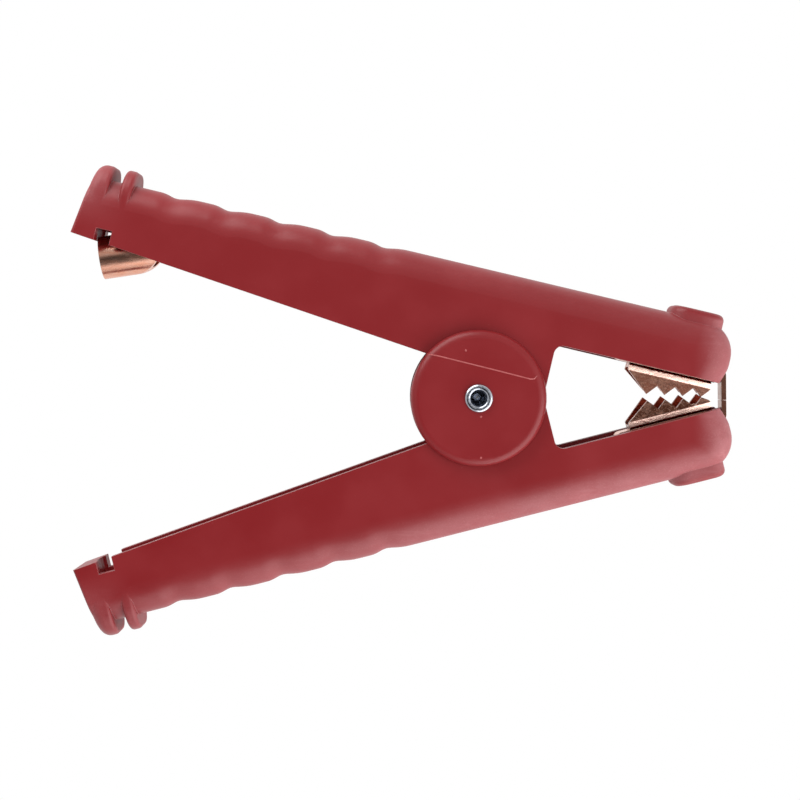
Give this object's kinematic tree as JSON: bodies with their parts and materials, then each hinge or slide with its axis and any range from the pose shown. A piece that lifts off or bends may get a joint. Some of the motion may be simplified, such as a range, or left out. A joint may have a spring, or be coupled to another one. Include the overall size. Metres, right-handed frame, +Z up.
{
  "type": "insulated crocodile clip",
  "caption": "Large sprung clip with red moulded covers, copper toothed jaws and a crimp barrel for a heavy test or battery lead, lying on its side.",
  "frame": {"origin": "on the pivot axis, at the outer face of the rivet's factory head, on which the clip lies", "axes": "+X along the clip towards the jaws, +Y to the arm with the crimp barrel, +Z up along the pivot axis to the rivet's rolled end"},
  "size_m": [0.1595, 0.1142, 0.028],
  "materials": {
    "cover_plastic": "glossy moulded red with pale scuffs",
    "jaw_copper": "tarnished copper",
    "strip_copper": "tarnished copper",
    "plated_steel": "zinc plated",
    "spring_steel": "drawn wire"
  },
  "bodies": {
    "lower_arm": {"lower_cover": "cover_plastic", "lower_jaw": "jaw_copper", "lower_conductor": "strip_copper", "lower_jaw_screw": "plated_steel", "pivot_rivet": "plated_steel", "torsion_spring": "spring_steel"},
    "upper_arm": {"upper_cover": "cover_plastic", "upper_jaw": "jaw_copper", "upper_conductor": "strip_copper", "upper_jaw_screw": "plated_steel"}
  },
  "joints": [
    {"name": "jaw_hinge", "type": "hinge", "parent": "lower_arm", "child": "upper_arm", "pos_m": [0, 0, 0.01435], "axis": [0, 0, 1], "range_deg": [0, 42], "stiffness_Nm_per_rad": 2.2, "springref_deg": -20.05, "deforming": ["torsion_spring"]}
  ]
}
